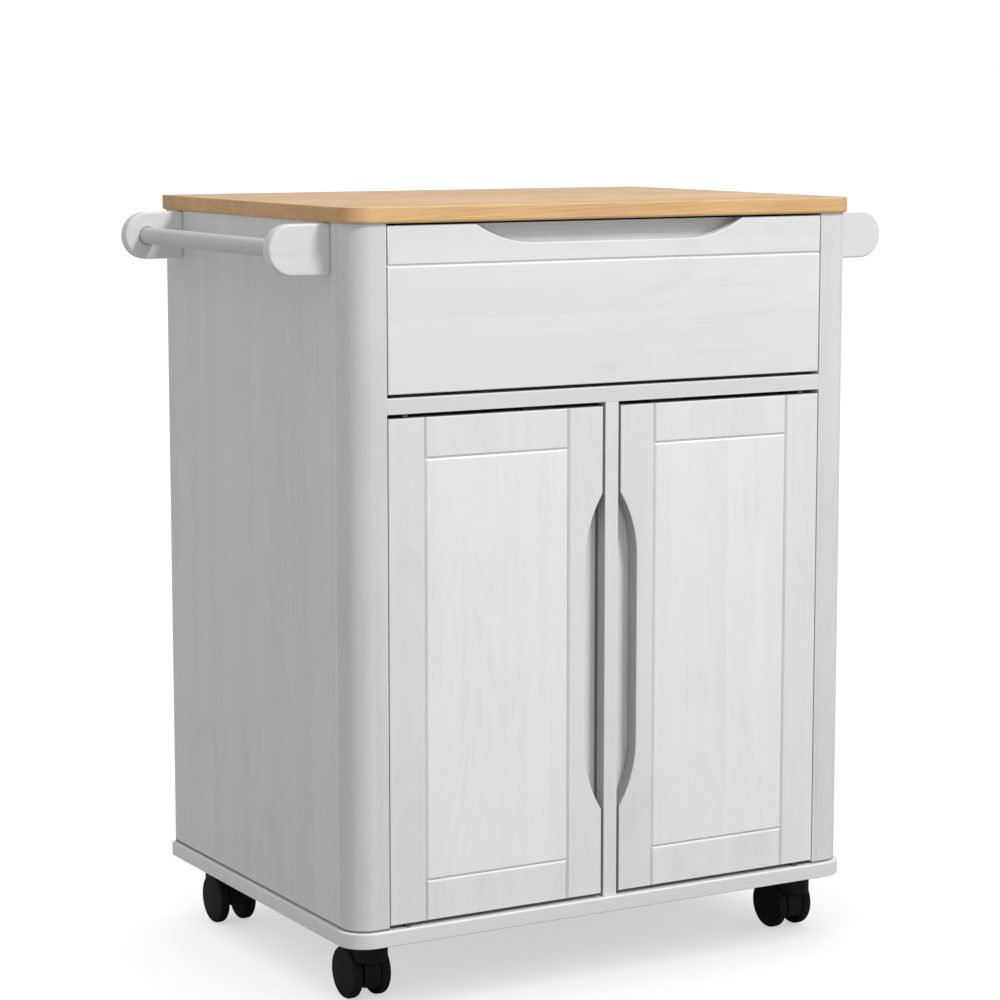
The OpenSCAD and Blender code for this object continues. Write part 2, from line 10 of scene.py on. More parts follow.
import bmesh
import bpy
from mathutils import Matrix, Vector

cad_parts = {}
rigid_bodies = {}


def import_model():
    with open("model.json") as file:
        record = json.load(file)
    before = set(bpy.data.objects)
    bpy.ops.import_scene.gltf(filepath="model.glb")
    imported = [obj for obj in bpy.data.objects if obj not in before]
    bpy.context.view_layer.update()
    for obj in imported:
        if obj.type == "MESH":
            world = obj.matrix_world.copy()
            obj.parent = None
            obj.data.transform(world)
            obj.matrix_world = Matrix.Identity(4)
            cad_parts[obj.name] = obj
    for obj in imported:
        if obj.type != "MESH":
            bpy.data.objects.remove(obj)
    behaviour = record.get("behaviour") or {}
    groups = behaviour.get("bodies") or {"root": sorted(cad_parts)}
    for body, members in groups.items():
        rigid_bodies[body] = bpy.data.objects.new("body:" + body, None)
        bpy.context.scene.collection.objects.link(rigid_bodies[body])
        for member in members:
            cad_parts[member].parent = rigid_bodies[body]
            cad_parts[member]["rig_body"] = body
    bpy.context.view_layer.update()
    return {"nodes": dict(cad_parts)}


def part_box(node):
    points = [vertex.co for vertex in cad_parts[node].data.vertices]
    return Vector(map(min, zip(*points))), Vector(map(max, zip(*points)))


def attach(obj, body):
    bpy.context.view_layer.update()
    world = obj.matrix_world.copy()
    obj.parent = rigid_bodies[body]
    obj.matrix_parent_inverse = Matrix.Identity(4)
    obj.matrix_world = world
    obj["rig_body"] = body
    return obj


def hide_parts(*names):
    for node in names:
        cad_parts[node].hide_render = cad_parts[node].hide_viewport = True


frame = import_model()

MM = 0.001
AXES = {"x": 0, "y": 1, "z": 2}


# ---------------------------------------------------------------- camera, light and floor

# Lengths in metres and angles in degrees. The yaw turns from +Y towards +X.
CAMERA_AT = (-1.5798, -2.7338, 0.9047)
CAMERA_YAW = 29.915
CAMERA_DOWN = 7.812
CAMERA_LENS_MM = 105.7
CAMERA_SENSOR_MM = 36
CAMERA_NEAR = 0.05
CAMERA_FAR = 1000

# The key's azimuth turns from the front towards the right, and its height is above the horizon
KEY_AIM = (0.0, -0.22, 0.45)
KEY_AZIMUTH = 26
KEY_HEIGHT = 48
KEY_DISTANCE = 4.2
KEY_WIDTH = 0.95
KEY_POWER = 115

# Greys are linear. FLOOR_SEEN is the floor's grey to the camera, FLOOR_GLOW the light added to
# it, FLOOR_BOUNCE its grey to all other light and FLOOR_MOTTLE its faint variation.
FLOOR_LAMP_STRENGTH = 2.0
FLOOR_LAMP_SPREAD = 110
SKY_GREY = 0.62
FLOOR_SEEN = 0.42
FLOOR_GLOW = 0.57
FLOOR_BOUNCE = 0.34
FLOOR_MOTTLE = 0.985
FLOOR_HALF = 200.0


def camera():
    data = bpy.data.cameras.new("camera")
    data.lens = CAMERA_LENS_MM
    data.sensor_width = CAMERA_SENSOR_MM
    data.clip_start = CAMERA_NEAR
    data.clip_end = CAMERA_FAR
    made = bpy.data.objects.new("camera", data)
    made.location = CAMERA_AT
    made.rotation_euler = (math.radians(90 - CAMERA_DOWN), 0, math.radians(-CAMERA_YAW))
    bpy.context.scene.collection.objects.link(made)
    bpy.context.scene.camera = made


def key_lamp():
    """A round soft box, aimed at the middle of the doors."""
    lamp = bpy.data.lights.new("key", "AREA")
    lamp.shape = "DISK"
    lamp.size = KEY_WIDTH
    lamp.energy = KEY_POWER
    turn = math.radians(KEY_AZIMUTH)
    rise = math.radians(KEY_HEIGHT)
    flat = math.cos(rise)
    towards = Vector((math.sin(turn) * flat, -math.cos(turn) * flat, math.sin(rise)))
    made = bpy.data.objects.new("key", lamp)
    made.location = Vector(KEY_AIM) + KEY_DISTANCE * towards
    made.rotation_mode = "QUATERNION"
    made.rotation_quaternion = towards.to_track_quat("Z", "Y")
    bpy.context.scene.collection.objects.link(made)
    return made


def floor_lamp():
    """A wide overcast light straight above."""
    lamp = bpy.data.lights.new("floor_lamp", "SUN")
    lamp.energy = FLOOR_LAMP_STRENGTH
    lamp.angle = math.radians(FLOOR_LAMP_SPREAD)
    made = bpy.data.objects.new("floor_lamp", lamp)
    bpy.context.scene.collection.objects.link(made)
    return made


def light_only(lamp, thing, state):
    """INCLUDE makes the lamp light that thing alone, and EXCLUDE makes it light all the rest."""
    group = bpy.data.collections.new(lamp.name + "_receivers")
    group.objects.link(thing)
    group.collection_objects[0].light_linking.link_state = state
    lamp.light_linking.receiver_collection = group


def studio():
    """A crisp key from the front right, an even grey room, and a white backdrop and floor."""
    scene = bpy.context.scene
    scene.view_settings.view_transform = "Standard"
    ground = floor()
    light_only(key_lamp(), ground, "EXCLUDE")
    light_only(floor_lamp(), ground, "INCLUDE")

    world = bpy.data.worlds.new("studio")
    world.use_nodes = True
    scene.world = world
    tree = world.node_tree
    tree.nodes.clear()
    room = tree.nodes.new("ShaderNodeBackground")
    room.inputs["Color"].default_value = grey(SKY_GREY)
    backdrop = tree.nodes.new("ShaderNodeBackground")
    backdrop.inputs["Color"].default_value = grey(1.0)
    seen = tree.nodes.new("ShaderNodeLightPath")
    mix = tree.nodes.new("ShaderNodeMixShader")
    out = tree.nodes.new("ShaderNodeOutputWorld")
    tree.links.new(seen.outputs["Is Camera Ray"], mix.inputs[0])
    tree.links.new(room.outputs[0], mix.inputs[1])
    tree.links.new(backdrop.outputs[0], mix.inputs[2])
    tree.links.new(mix.outputs[0], out.inputs["Surface"])


def floor():
    """A wide pale floor that looks white, shows faint shadows and throws little light upwards."""
    bm = bmesh.new()
    corners = [(-1, -1), (1, -1), (1, 1), (-1, 1)]
    bm.faces.new([bm.verts.new((x * FLOOR_HALF, y * FLOOR_HALF, 0)) for x, y in corners])
    made = object_from(bm, "floor")
    g = Graph("studio_floor", roughness=0.9)
    mottle = g.noise(g.place(), 3, detail=3)
    pale = g.mix(mottle, grey(FLOOR_SEEN), grey(FLOOR_SEEN * FLOOR_MOTTLE))
    seen = g.node("LightPath").outputs["Is Camera Ray"]
    g.colour(g.mix(seen, grey(FLOOR_BOUNCE), pale))
    g.shader.inputs["Emission Color"].default_value = grey(1.0)
    g.feed(g.shader.inputs["Emission Strength"], g.math("MULTIPLY", seen, FLOOR_GLOW))
    made.data.materials.append(g.material)
    return made


# ---------------------------------------------------------------- node graphs

def grey(value):
    return (value, value, value, 1)


class Graph:
    """One material's nodes. Calls return output sockets; plain numbers go in as they are.

    In a material below, the number beside each part of a total is that part's weight, and the
    numbers of an ease are where the part fades in.
    """

    def __init__(self, name, **sockets):
        self.material = bpy.data.materials.new(name)
        self.material.use_nodes = True
        self.tree = self.material.node_tree
        self.shader = self.tree.nodes["Principled BSDF"]
        for socket, value in sockets.items():
            title = socket.replace("_", " ").title().replace("Ior", "IOR")
            self.shader.inputs[title].default_value = value

    def node(self, kind, inputs=(), **settings):
        made = self.tree.nodes.new("ShaderNode" + kind)
        for setting, value in settings.items():
            setattr(made, setting, value)
        for socket, value in dict(inputs).items():
            self.feed(made.inputs[socket], value)
        return made

    def feed(self, socket, value):
        if isinstance(value, bpy.types.NodeSocket):
            self.tree.links.new(value, socket)
        else:
            socket.default_value = value

    def place(self):
        """The point's place in the object's own frame, in metres."""
        return self.node("TexCoord").outputs["Object"]

    def math(self, operation, a, b=0.0, c=0.0):
        return self.node("Math", {0: a, 1: b, 2: c}, operation=operation).outputs[0]

    def vector(self, operation, a, b):
        return self.node("VectorMath", {0: a, 1: b}, operation=operation).outputs[0]

    def split(self, vector):
        return self.node("SeparateXYZ", {0: vector}).outputs

    def join(self, x, y, z):
        return self.node("CombineXYZ", {0: x, 1: y, 2: z}).outputs[0]

    def noise(self, vector, scale, detail=2.0, roughness=0.5):
        made = self.node("TexNoise", {"Vector": vector, "Scale": scale, "Detail": detail,
                                      "Roughness": roughness})
        return made.outputs["Fac"]

    def chance(self, value):
        """A random number from 0 to 1 for each value."""
        return self.node("TexWhiteNoise", {"W": value}, noise_dimensions="1D").outputs["Value"]

    def ease(self, value, low, high, to_low=0.0, to_high=1.0):
        """A smooth step from to_low at low to to_high at high."""
        made = self.node("MapRange", {0: value, 1: low, 2: high, 3: to_low, 4: to_high},
                         interpolation_type="SMOOTHSTEP")
        return made.outputs[0]

    def mix(self, factor, a, b):
        made = self.node("Mix", data_type="RGBA")
        self.feed(made.inputs["Factor"], factor)
        self.feed(made.inputs[6], a)
        self.feed(made.inputs[7], b)
        return made.outputs[2]

    def total(self, *weighted):
        """The sum of (weight, socket) pairs."""
        result = 0.0
        for weight, socket in weighted:
            result = self.math("MULTIPLY_ADD", socket, weight, result)
        return result

    def colour(self, socket):
        self.feed(self.shader.inputs["Base Color"], socket)

    def roughness(self, socket):
        self.feed(self.shader.inputs["Roughness"], socket)

    def bump(self, height, distance, strength=1.0):
        made = self.node("Bump", {"Height": height, "Distance": distance, "Strength": strength})
        self.feed(self.shader.inputs["Normal"], made.outputs["Normal"])


def facing(g, side):
    """How squarely a point faces a side of its board, such as y- or z+."""
    along = g.split(g.node("TexCoord").outputs["Normal"])[AXES[side[0]]]
    return g.math("MULTIPLY", along, -1.0) if side[1] == "-" else along


def edge_distance(g, place, low, high):
    """How far a point on a box-shaped board is from the nearest edge of that board."""
    over = g.vector("SUBTRACT", place, tuple(low))
    under = g.vector("SUBTRACT", tuple(high), place)
    to_x, to_y, to_z = g.split(g.vector("MINIMUM", over, under))
    second = g.math("MINIMUM", g.math("MAXIMUM", to_x, to_y), to_z)
    return g.math("MAXIMUM", g.math("MINIMUM", to_x, to_y), second)


def edge_wear(g, place, low, high, scale, widest, strength):
    """How worn a point is: strength at the edges, fading out over an uneven width."""
    rub = g.math("MULTIPLY_ADD", g.noise(place, scale, 3), widest, RUB_LEAST)
    into = g.math("SUBTRACT", edge_distance(g, place, low, high), rub)
    return g.ease(into, -RUB_SOFT, RUB_SOFT, strength, 0.0)


# ---------------------------------------------------------------- wood

RING_PITCH = 4.2 * MM
STAVE_WIDTH = 92 * MM
WORKTOP_STAVE = 70 * MM

# Where each board's figure is cut from: the start, and the step from one seed to the next
ACROSS_START = 3.7
ACROSS_STEP = 0.613
ALONG_START = 5.1
ALONG_STEP = 1.37
TONE_STEP = 17.3
TWIST_START = 40.5
TWIST_STEP = 5.9
STAVE_SHIFT = 7.7

# The pith: how far it lies to the side and below, and how fast it rises along the board
PITH_SIDE = 0.05
PITH_SLOPE = 0.055
PITH_DEPTH = 0.24
PITH_SPREAD = 0.05
PITH_FOLD = 0.11

# How far the rings wander, in metres, and how many times a metre along and across the board
SWAY = 0.022
SWAY_ALONG = 2.1
SWAY_ACROSS = 9.0
RIPPLE = 0.0016
RIPPLE_ALONG = 14.0
RIPPLE_ACROSS = 60.0

# A ring darkens slowly through its late wood and ends sharply
LATE_WOOD_FROM = 0.15
LATE_WOOD_FULL = 0.86
RING_ENDS = 0.88
RING_FAINTEST = 0.3

# How many streaks, fibres and bands there are in a metre, along and across the grain
STREAKS_ALONG = 2.4
STREAKS_ACROSS = 95.0
FIBRES_ALONG = 28.0
FIBRES_ACROSS = 1100.0
BANDS_ALONG = 1.1
BANDS_ACROSS = 30.0


def pine_figure(g, place, grain, thin, seed, stave):
    """Growth rings, streaks and fibres of flat-sawn pine staves.

    grain is the axis the fibres run along and thin the axis through the board. Returns the
    sockets rings, streaks, fibres, broad bands and the stave's own random tone.
    """
    axes = g.split(place)
    wide = ({"x", "y", "z"} - {grain, thin}).pop()
    along = g.math("ADD", axes[AXES[grain]], ALONG_START + seed * ALONG_STEP)
    across = g.math("ADD", axes[AXES[wide]], ACROSS_START + seed * ACROSS_STEP)
    deep = axes[AXES[thin]]

    index = g.math("FLOOR", g.math("DIVIDE", across, stave))
    tone = g.chance(g.math("ADD", index, seed * TONE_STEP))
    twist = g.chance(g.math("ADD", index, seed * TWIST_STEP + TWIST_START))
    local = g.math("SUBTRACT", g.math("MODULO", across, stave), stave / 2)
    along = g.math("MULTIPLY_ADD", tone, STAVE_SHIFT, along)

    def spread(along_rate, across_rate, third):
        """A place in noise space, from rates along and across the grain."""
        first = g.math("MULTIPLY", along, along_rate)
        return g.join(first, g.math("MULTIPLY", across, across_rate), third)

    sway = g.noise(spread(SWAY_ALONG, SWAY_ACROSS, tone), 1.0, 2)
    ripple = g.noise(spread(RIPPLE_ALONG, RIPPLE_ACROSS, twist), 1.0, 3)
    from_pith = g.math("ADD", local, g.math("MULTIPLY_ADD", twist, PITH_SIDE, -PITH_SIDE / 2))
    depth = g.math("MULTIPLY_ADD", tone, PITH_SPREAD, -PITH_DEPTH)
    depth = g.math("MULTIPLY_ADD", along, PITH_SLOPE, depth)
    depth = g.math("ADD", g.math("PINGPONG", depth, PITH_FOLD), deep)
    reach = g.node("VectorMath", {0: g.join(from_pith, depth, 0.0)}, operation="LENGTH")
    radius = g.math("MULTIPLY_ADD", sway, SWAY, reach.outputs["Value"])
    radius = g.math("MULTIPLY_ADD", ripple, RIPPLE, radius)
    turn = g.math("DIVIDE", radius, RING_PITCH)
    phase = g.math("FRACT", turn)
    rise = g.ease(phase, LATE_WOOD_FROM, LATE_WOOD_FULL)
    fall = g.ease(phase, RING_ENDS, 1.0, 1.0, 0.0)
    weight = g.chance(g.math("FLOOR", turn))
    weight = g.math("MULTIPLY_ADD", weight, 1.0 - RING_FAINTEST, RING_FAINTEST)
    rings = g.math("MULTIPLY", g.math("MULTIPLY", rise, fall), weight)

    streak_depth = g.math("MULTIPLY", deep, STREAKS_ACROSS)
    streaks = g.noise(spread(STREAKS_ALONG, STREAKS_ACROSS, streak_depth), 1.0, 4, 0.6)
    fibre_depth = g.math("MULTIPLY", deep, FIBRES_ACROSS)
    fibres = g.noise(spread(FIBRES_ALONG, FIBRES_ACROSS, fibre_depth), 1.0, 3, 0.65)
    bands = g.noise(spread(BANDS_ALONG, BANDS_ACROSS, tone), 1.0, 3, 0.55)
    return rings, streaks, fibres, bands, tone


PAINT = 0.78
PAINT_IN_GRAIN = 0.68
PAINT_AT_EDGE = (0.86, 0.855, 0.84, 1)
PAINT_THINNED = 0.62
PAINT_RELIEF = 0.05 * MM
# The darkest grey of the painted shadow lines in the joints, beside the paint
PAINTED_SHADOW_TONE = 0.30

# Noise scales, in cells a metre: broad patches, and the grit of the roller
PATCH_SCALE = 6.0
PATCH_STEP = 0.1
GRIT_SCALE = 420

# How squarely a face must look sideways before its painted shade starts, and where it is full:
# from, fully
SHADE_FROM = 0.66
SHADE_FULL = 0.90

# Wear along the edges: its least width and how softly it fades. Then, for the paint and for the
# lacquer, the scale at which the width varies, by how much, and how strong the wear is.
RUB_LEAST = 0.2 * MM
RUB_SOFT = 0.8 * MM
PAINT_RUB = (160, 2.4 * MM, 0.55)
LACQUER_RUB = (140, 2.2 * MM, 0.35)


def painted_pine(name, grain, thin, seed, tone, shaded_sides, shadow_line, low, high):
    """A thin white paint that lets the pine's figure through as faint grey.

    tone is how light the board is painted, where 1 is the usual paint: painted light and shade,
    set board by board. The sides listed next are painted darker as painted shade, each with how
    light it is beside the faces. The line given after them is a painted shadow line along a joint:
    an axis, the joint's place on it, and how far from there the paint is darkest and unshaded.
    """
    g = Graph(name, roughness=0.42, ior=1.46)
    place = g.place()
    figure = pine_figure(g, place, grain, thin, seed, STAVE_WIDTH)
    rings, streaks, fibres, bands, stave_tone = figure
    patches = g.noise(place, PATCH_SCALE + PATCH_STEP * seed, 3, 0.55)
    shows = g.ease(patches, 0.40, 0.66, 0.12, 1.0)
    faint = g.total((0.50, g.math("MULTIPLY", rings, shows)),
                    (0.50, g.math("MULTIPLY", g.ease(streaks, 0.42, 0.78), shows)),
                    (0.14, g.ease(fibres, 0.35, 0.7)),
                    (0.55, g.ease(bands, 0.34, 0.68)),
                    (0.10, stave_tone),
                    (0.20, patches))
    thinned = g.math("MULTIPLY", faint, PAINT_THINNED)
    # The board's tone lightens or darkens its paint as painted light and shade
    wood = g.mix(thinned, grey(PAINT * tone), grey(PAINT_IN_GRAIN * tone))
    worn = edge_wear(g, place, low, high, *PAINT_RUB)
    paint = g.mix(worn, wood, PAINT_AT_EDGE)
    # Painted shade: the listed sides are painted darker, standing in for the shade that falls on
    # them
    for side, light in shaded_sides.items():
        kept = g.ease(facing(g, side), SHADE_FROM, SHADE_FULL, 1.0, light)
        paint = g.mix(kept, grey(0.0), paint)
    # Painted shadow: a dark line along a joint, standing in for the shade there
    if shadow_line:
        axis, joint, dark, unshaded = shadow_line
        away = g.math("ABSOLUTE", g.math("SUBTRACT", g.split(place)[AXES[axis]], joint))
        paint = g.mix(g.ease(away, dark, unshaded, PAINTED_SHADOW_TONE, 1.0), grey(0.0), paint)
    g.colour(paint)
    g.roughness(g.total((0.10, streaks), (0.06, fibres), (-0.08, worn), (0.36, 1.0)))
    relief = g.total((1.0, rings), (0.7, fibres), (0.35, g.noise(place, GRIT_SCALE, 2)))
    g.bump(relief, PAINT_RELIEF, 0.8)
    return g.material


HONEY_LIGHT = (0.785, 0.505, 0.238, 1)
HONEY_MID = (0.61, 0.350, 0.140, 1)
HONEY_DARK = (0.44, 0.225, 0.080, 1)
HONEY_BLUSH = (0.69, 0.365, 0.165, 1)
HONEY_RAW = (0.50, 0.45, 0.38, 1)
HONEY_RELIEF = 0.04 * MM

# Cells a metre along, across and through the worktop
HONEY_PATCHES = (7.0, 16.0, 16.0)
HONEY_BLUSHES = (9.0, 21.0, 30.0)

# How squarely a face must look along the grain, or down, to show end grain or raw wood
TURNED_FROM = 0.6
TURNED_FULL = 0.95


def honey_pine(name, grain, thin, seed, low, high):
    """Clear-lacquered pine staves, glued edge to edge and left raw underneath."""
    g = Graph(name, roughness=0.42, ior=1.45, coat_weight=0.12, coat_roughness=0.30)
    place = g.place()
    rings, streaks, fibres, bands, tone = pine_figure(g, place, grain, thin, seed, WORKTOP_STAVE)
    endways = g.math("MAXIMUM", facing(g, grain + "-"), facing(g, grain + "+"))
    end_grain = g.ease(endways, TURNED_FROM, TURNED_FULL)
    patches = g.noise(g.vector("MULTIPLY", place, HONEY_PATCHES), 1.0, 3, 0.6)
    blushes = g.noise(g.vector("MULTIPLY", place, HONEY_BLUSHES), 1.0, 2, 0.5)
    figure = g.total((0.46, rings),
                     (0.44, g.ease(streaks, 0.32, 0.72)),
                     (0.36, g.ease(bands, 0.32, 0.70)),
                     (0.34, tone),
                     (0.42, g.ease(patches, 0.34, 0.66)),
                     (-0.44, 1.0))
    wood = g.mix(figure, HONEY_LIGHT, HONEY_MID)
    wood = g.mix(g.ease(blushes, 0.50, 0.72, 0.0, 0.5), wood, HONEY_BLUSH)
    pores = g.ease(fibres, 0.50, 0.80, 0.0, 0.55)
    wood = g.mix(pores, wood, HONEY_DARK)
    wood = g.mix(g.math("MULTIPLY", end_grain, 0.30), wood, HONEY_DARK)
    wood = g.mix(g.ease(facing(g, "z-"), TURNED_FROM, TURNED_FULL), wood, HONEY_RAW)
    worn = edge_wear(g, place, low, high, *LACQUER_RUB)
    g.colour(g.mix(worn, wood, HONEY_LIGHT))
    g.roughness(g.total((0.10, streaks), (0.12, fibres), (0.33, 1.0)))
    g.bump(g.total((1.0, rings), (0.8, fibres)), HONEY_RELIEF, 0.7)
    return g.material


BOARD_SHADE = 0.72
BOARD_RUB = 1.5 * MM
BOARD_PATCHES = 7.0
BOARD_PEEL = 900
BOARD_RELIEF = 0.03 * MM


def painted_board(name, seed, low, high):
    """Smooth hardboard with a rolled white finish."""
    g = Graph(name, roughness=0.5, ior=1.46)
    place = g.place()
    patches = g.noise(place, BOARD_PATCHES + seed, 3)
    peel = g.noise(place, BOARD_PEEL, 2)
    worn = g.ease(edge_distance(g, place, low, high), 0.0, BOARD_RUB, 0.5, 0.0)
    face = g.mix(g.total((0.6, patches), (0.3, peel)), grey(PAINT), grey(BOARD_SHADE))
    g.colour(g.mix(worn, face, PAINT_AT_EDGE))
    g.roughness(g.total((0.12, patches), (0.44, 1.0)))
    g.bump(peel, BOARD_RELIEF, 0.6)
    return g.material


# ---------------------------------------------------------------- plastic and metal

PLASTIC_RUB = 1.6 * MM
PLASTIC_PATCHES = 60
PLASTIC_SPARK = 2600
PLASTIC_RELIEF = 0.02 * MM

# Fine lines and dull bloom on metal, in cells a metre
LINES_ACROSS = 900.0
LINES_ALONG = 14.0
BLOOM_SCALE = 70
METAL_RELIEF = 0.015 * MM


def moulded_plastic(name, base, roughness, low, high, specular=0.5):
    """Injection-moulded plastic with a fine spark texture and slightly polished edges."""
    g = Graph(name, roughness=roughness, specular_ior_level=specular)
    place = g.place()
    patches = g.noise(place, PLASTIC_PATCHES, 3)
    spark = g.noise(place, PLASTIC_SPARK, 2, 0.6)
    worn = g.ease(edge_distance(g, place, low, high), 0.0, PLASTIC_RUB, 0.35, 0.0)
    light = tuple(min(1.0, 1.5 * c + 0.003) for c in base[:3]) + (1,)
    shade = tuple(0.75 * c for c in base[:3]) + (1,)
    face = g.mix(g.total((0.7, patches), (0.3, spark)), base, shade)
    g.colour(g.mix(worn, face, light))
    g.roughness(g.total((0.14, patches), (0.10, spark), (-0.10, worn), (roughness - 0.08, 1.0)))
    g.bump(spark, PLASTIC_RELIEF, 0.5)
    return g.material


def metal(name, base, shade, roughness, brushed):
    """Plated or drawn steel. brushed is the axis its fine lines run along."""
    g = Graph(name, roughness=roughness, metallic=1.0)
    place = g.place()
    stretch = [LINES_ACROSS, LINES_ACROSS, LINES_ACROSS]
    stretch[AXES[brushed]] = LINES_ALONG
    lines = g.noise(g.vector("MULTIPLY", place, tuple(stretch)), 1.0, 3, 0.6)
    bloom = g.noise(place, BLOOM_SCALE, 3, 0.6)
    g.colour(g.mix(g.total((0.6, lines), (0.5, bloom)), base, shade))
    g.roughness(g.total((0.14, lines), (0.16, bloom), (roughness - 0.12, 1.0)))
    g.bump(lines, METAL_RELIEF, 0.5)
    return g.material


# ---------------------------------------------------------------- boards with eased edges

WELD = 0.002 * MM
CURVE_ANGLE = math.radians(0.4)
SHARP_ANGLE = math.radians(30)
SQUARE_ANGLE = math.radians(60)
FINE_EASE = 0.35 * MM
FINE_SEGMENTS = 2
WIDE_SEGMENTS = 4
SHORTEST_EASED = 3 * MM
NEAR = 0.02 * MM


def object_from(bm, name):
    mesh = bpy.data.meshes.new(name)
    bm.to_mesh(mesh)
    bm.free()
    made = bpy.data.objects.new(name, mesh)
    bpy.context.scene.collection.objects.link(made)
    return made


def on_side(vert, side, low, high):
    """True if a vertex lies on one side of the board's box, named such as y- or z+."""
    axis = AXES[side[0]]
    edge = low if side[1] == "-" else high
    return abs(vert.co[axis] - edge[axis]) < NEAR


def round_over(bm, edges, width, segments):
    if edges:
        bmesh.ops.bevel(bm, geom=edges, offset=width, offset_type="OFFSET", segments=segments,
                        profile=0.5, affect="EDGES", clamp_overlap=False)


def convex(edge, least):
    return len(edge.link_faces) == 2 and edge.calc_face_angle_signed(0) > least


def eased(node, widths, seams=()):
    """The board of a CAD node with its arrises rounded over.

    widths gives a radius for the square edges of each named side, and every other long edge
    gets a fine one. The edges of a seam side stay square, where the next board is flush.
    """
    low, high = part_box(node)
    bm = bmesh.new()
    bm.from_mesh(frame["nodes"][node].data)
    bmesh.ops.remove_doubles(bm, verts=bm.verts, dist=WELD)
    bmesh.ops.dissolve_limit(bm, angle_limit=CURVE_ANGLE, verts=bm.verts, edges=bm.edges,
                             use_dissolve_boundaries=False)

    def whole_on(edge, side):
        return all(on_side(vert, side, low, high) for vert in edge.verts)

    def in_seam(edge):
        return any(whole_on(edge, side) for side in seams)

    def free(least):
        """The convex edges of at least this angle that are outside the seams."""
        return [edge for edge in bm.edges if convex(edge, least) and not in_seam(edge)]

    for side, width in widths.items():
        square = [edge for edge in free(SQUARE_ANGLE) if whole_on(edge, side)]
        round_over(bm, square, width, WIDE_SEGMENTS)
    rest = [edge for edge in free(SHARP_ANGLE) if edge.calc_length() > SHORTEST_EASED]
    round_over(bm, rest, FINE_EASE, FINE_SEGMENTS)
    bmesh.ops.recalc_face_normals(bm, faces=bm.faces)
    for face in bm.faces:
        face.smooth = True
    made = object_from(bm, node + "_eased")
    made.data.set_sharp_from_angle(angle=SHARP_ANGLE)
    shade = made.modifiers.new("flat faces", "WEIGHTED_NORMAL")
    shade.keep_sharp = True
    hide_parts(node)
    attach(made, frame["nodes"][node]["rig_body"])
    return made


# name: grain axis, axis through the board, eased sides with their radii in millimetres, seam sides
WHITE_BOARDS = {
    "base_board": ("x", "z", {"z+": 2.0, "z-": 1.2}, ()),
    "side_panel_left": ("z", "x", {"y+": 1.2, "z-": 2.8}, ("y-",)),
    "side_panel_right": ("z", "x", {"y+": 1.2, "z-": 2.8}, ("y-",)),
    "corner_post_left": ("z", "y", {"x+": 1.0, "z-": 2.8}, ("y+",)),
    "corner_post_right": ("z", "y", {"x-": 1.0, "z-": 2.8}, ("y+",)),
    "rear_rail": ("x", "y", {"z-": 1.0}, ()),
    "middle_rail": ("x", "z", {"y-": 0.8}, ()),
    "centre_stile": ("z", "y", {"y-": 0.8, "y+": 3.5}, ()),
    "centre_backing": ("z", "y", {}, ()),
    "shelf": ("x", "z", {"y-": 1.2}, ()),
    "slide_packers": ("y", "x", {}, ()),
    "drawer_front": ("x", "y", {"y-": 1.3, "y+": 0.8}, ()),
    "drawer_subfront": ("x", "y", {"y+": 0.8}, ("y-",)),
    "drawer_side_left": ("y", "x", {"z+": 1.5}, ()),
    "drawer_side_right": ("y", "x", {"z+": 1.5}, ()),
    "drawer_back": ("x", "y", {"z+": 1.5}, ()),
    "handle_plate_front_left": ("x", "y", {"y-": 2.2, "y+": 2.2}, ()),
    "handle_plate_front_right": ("x", "y", {"y-": 2.2, "y+": 2.2}, ()),
    "handle_plate_rear_left": ("x", "y", {"y-": 2.2, "y+": 2.2}, ()),
    "handle_plate_rear_right": ("x", "y", {"y-": 2.2, "y+": 2.2}, ()),
    "handle_bar_left": ("y", "x", {}, ()),
    "handle_bar_right": ("y", "x", {}, ()),
}
for hand in ("left", "right"):
    for part in ("door_stile_outer_", "door_stile_inner_", "door_rails_"):
        WHITE_BOARDS[part + hand] = ("z", "y", {"y-": 1.2, "y+": 0.8}, ())
    WHITE_BOARDS["door_panel_" + hand] = ("z", "y", {}, ())
SMOOTH_BOARDS = ("back_panel", "drawer_bottom")
WORKTOP_EASED = {"z+": 0.9 * MM, "z-": 3.0 * MM}
WORKTOP_SEED = 3

# How light a board is painted, where that differs from the rest: painted light and shade, set to
# how light falls on each board
LIGHT_AND_SHADE_TONES = {
    "drawer_front": 1.07,
    "drawer_subfront": 0.93,
    "door_panel_left": 1.14,
    "door_panel_right": 1.13,
    "door_stile_outer_left": 1.03,
    "door_stile_inner_left": 1.03,
    "door_stile_outer_right": 1.07,
    "door_stile_inner_right": 1.03,
    "door_rails_left": 1.07,
    "door_rails_right": 1.07,
    "side_panel_left": 0.97,
    "side_panel_right": 0.97,
    "corner_post_left": 0.91,
    "corner_post_right": 0.93,
    "middle_rail": 0.95,
    "centre_backing": 1.10,
    "base_board": 1.03,
    "handle_bar_left": 0.82,
    "handle_bar_right": 0.82,
}

# Sides painted darker as painted shade in the grips, gaps and crevices, and how light each is
# beside the faces
PAINTED_SHADE_SIDES = {
    "centre_stile": {"x-": 0.62, "x+": 0.62, "y+": 0.20},
    "drawer_front": {"x-": 0.60, "x+": 0.60, "z-": 0.60},
}
for hand in ("left", "right"):
    for part in ("door_stile_outer_", "door_stile_inner_", "door_rails_"):
        PAINTED_SHADE_SIDES[part + hand] = {"x-": 0.62, "x+": 0.62, "z-": 0.60, "z+": 0.60}

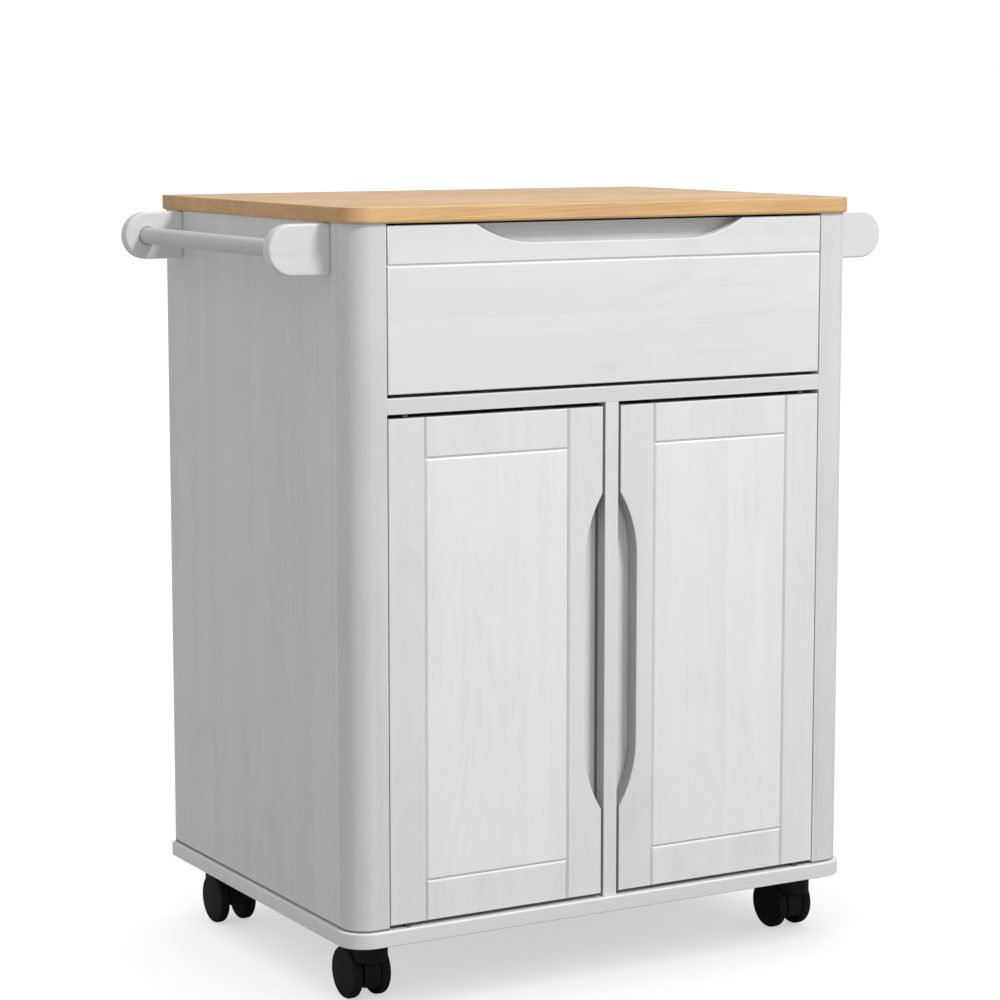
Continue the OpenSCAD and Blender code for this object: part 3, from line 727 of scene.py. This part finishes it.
# Painted shadow lines, standing in for the shade in the joints beside the centre stile's back
# corners and over the base board. Each has its axis, the joint's place on it, and how far from
# there the paint is darkest and unshaded.
PAINTED_SHADOW_LINES = {"centre_backing": ("x", 0.0, 8.4 * MM, 10.6 * MM)}
for node in ("side_panel_left", "side_panel_right", "corner_post_left", "corner_post_right"):
    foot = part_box(node)[0][2]
    PAINTED_SHADOW_LINES[node] = ("z", foot, 1.2 * MM, 3.0 * MM)


def dress(board, material):
    """Give a rebuilt board its one material."""
    board.data.materials.clear()
    board.data.materials.append(material)


def finish_boards():
    for seed, (node, (grain, thin, widths, seams)) in enumerate(WHITE_BOARDS.items()):
        board = eased(node, {side: width * MM for side, width in widths.items()}, seams)
        tone = LIGHT_AND_SHADE_TONES.get(node, 1.0)
        shaded_sides = PAINTED_SHADE_SIDES.get(node, {})
        shadow_line = PAINTED_SHADOW_LINES.get(node)
        paint = painted_pine("white_" + node, grain, thin, seed, tone, shaded_sides, shadow_line, *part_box(node))
        dress(board, paint)
    worktop = eased("top_board", WORKTOP_EASED)
    lacquer = honey_pine("honey_pine", "x", "z", WORKTOP_SEED, *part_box("top_board"))
    dress(worktop, lacquer)
    for seed, node in enumerate(SMOOTH_BOARDS):
        board = eased(node, {})
        dress(board, painted_board("smooth_" + node, seed, *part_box(node)))


# ---------------------------------------------------------------- hardware

# Colours are linear
BLACK = (0.0105, 0.0105, 0.011, 1)
TYRE_BLACK = (0.0100, 0.0100, 0.0105, 1)
BLACK_SHEEN = 0.15
CATCH_GREY = (0.03, 0.03, 0.032, 1)

# Each metal's colour, and the shade of its lines and bloom
DRAWN_STEEL = ((0.58, 0.57, 0.56, 1), (0.42, 0.41, 0.40, 1))
TURNED_STEEL = ((0.60, 0.59, 0.57, 1), (0.45, 0.44, 0.43, 1))
BLACKENED_STEEL = ((0.150, 0.150, 0.155, 1), (0.100, 0.100, 0.105, 1))
ZINC_PLATE = ((0.66, 0.67, 0.69, 1), (0.50, 0.51, 0.53, 1))


def finish_hardware():
    steel = metal("drawn_steel", *DRAWN_STEEL, 0.30, "x")
    pins = metal("turned_steel", *TURNED_STEEL, 0.28, "x")
    black_pins = metal("blackened_steel", *BLACKENED_STEEL, 0.45, "z")
    zinc = metal("zinc_plate", *ZINC_PLATE, 0.34, "y")
    for node, item in frame["nodes"].items():
        if item.hide_render:
            continue
        slot = item.data.materials[0].name
        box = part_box(node)
        if slot == "caster_black":
            finish = moulded_plastic("plastic_" + node, BLACK, 0.52, *box, specular=BLACK_SHEEN)
        elif slot == "wheel_black":
            finish = moulded_plastic("nylon_" + node, TYRE_BLACK, 0.56, *box, specular=BLACK_SHEEN)
        elif slot == "catch_plastic":
            finish = moulded_plastic("catch_" + node, CATCH_GREY, 0.45, *box)
        elif slot == "zinc_steel":
            finish = zinc
        elif slot == "black_steel":
            finish = black_pins
        elif node.startswith("caster_axle"):
            finish = steel
        else:
            finish = pins
        item.material_slots[0].link = "OBJECT"
        item.material_slots[0].material = finish


camera()
studio()
finish_boards()
finish_hardware()
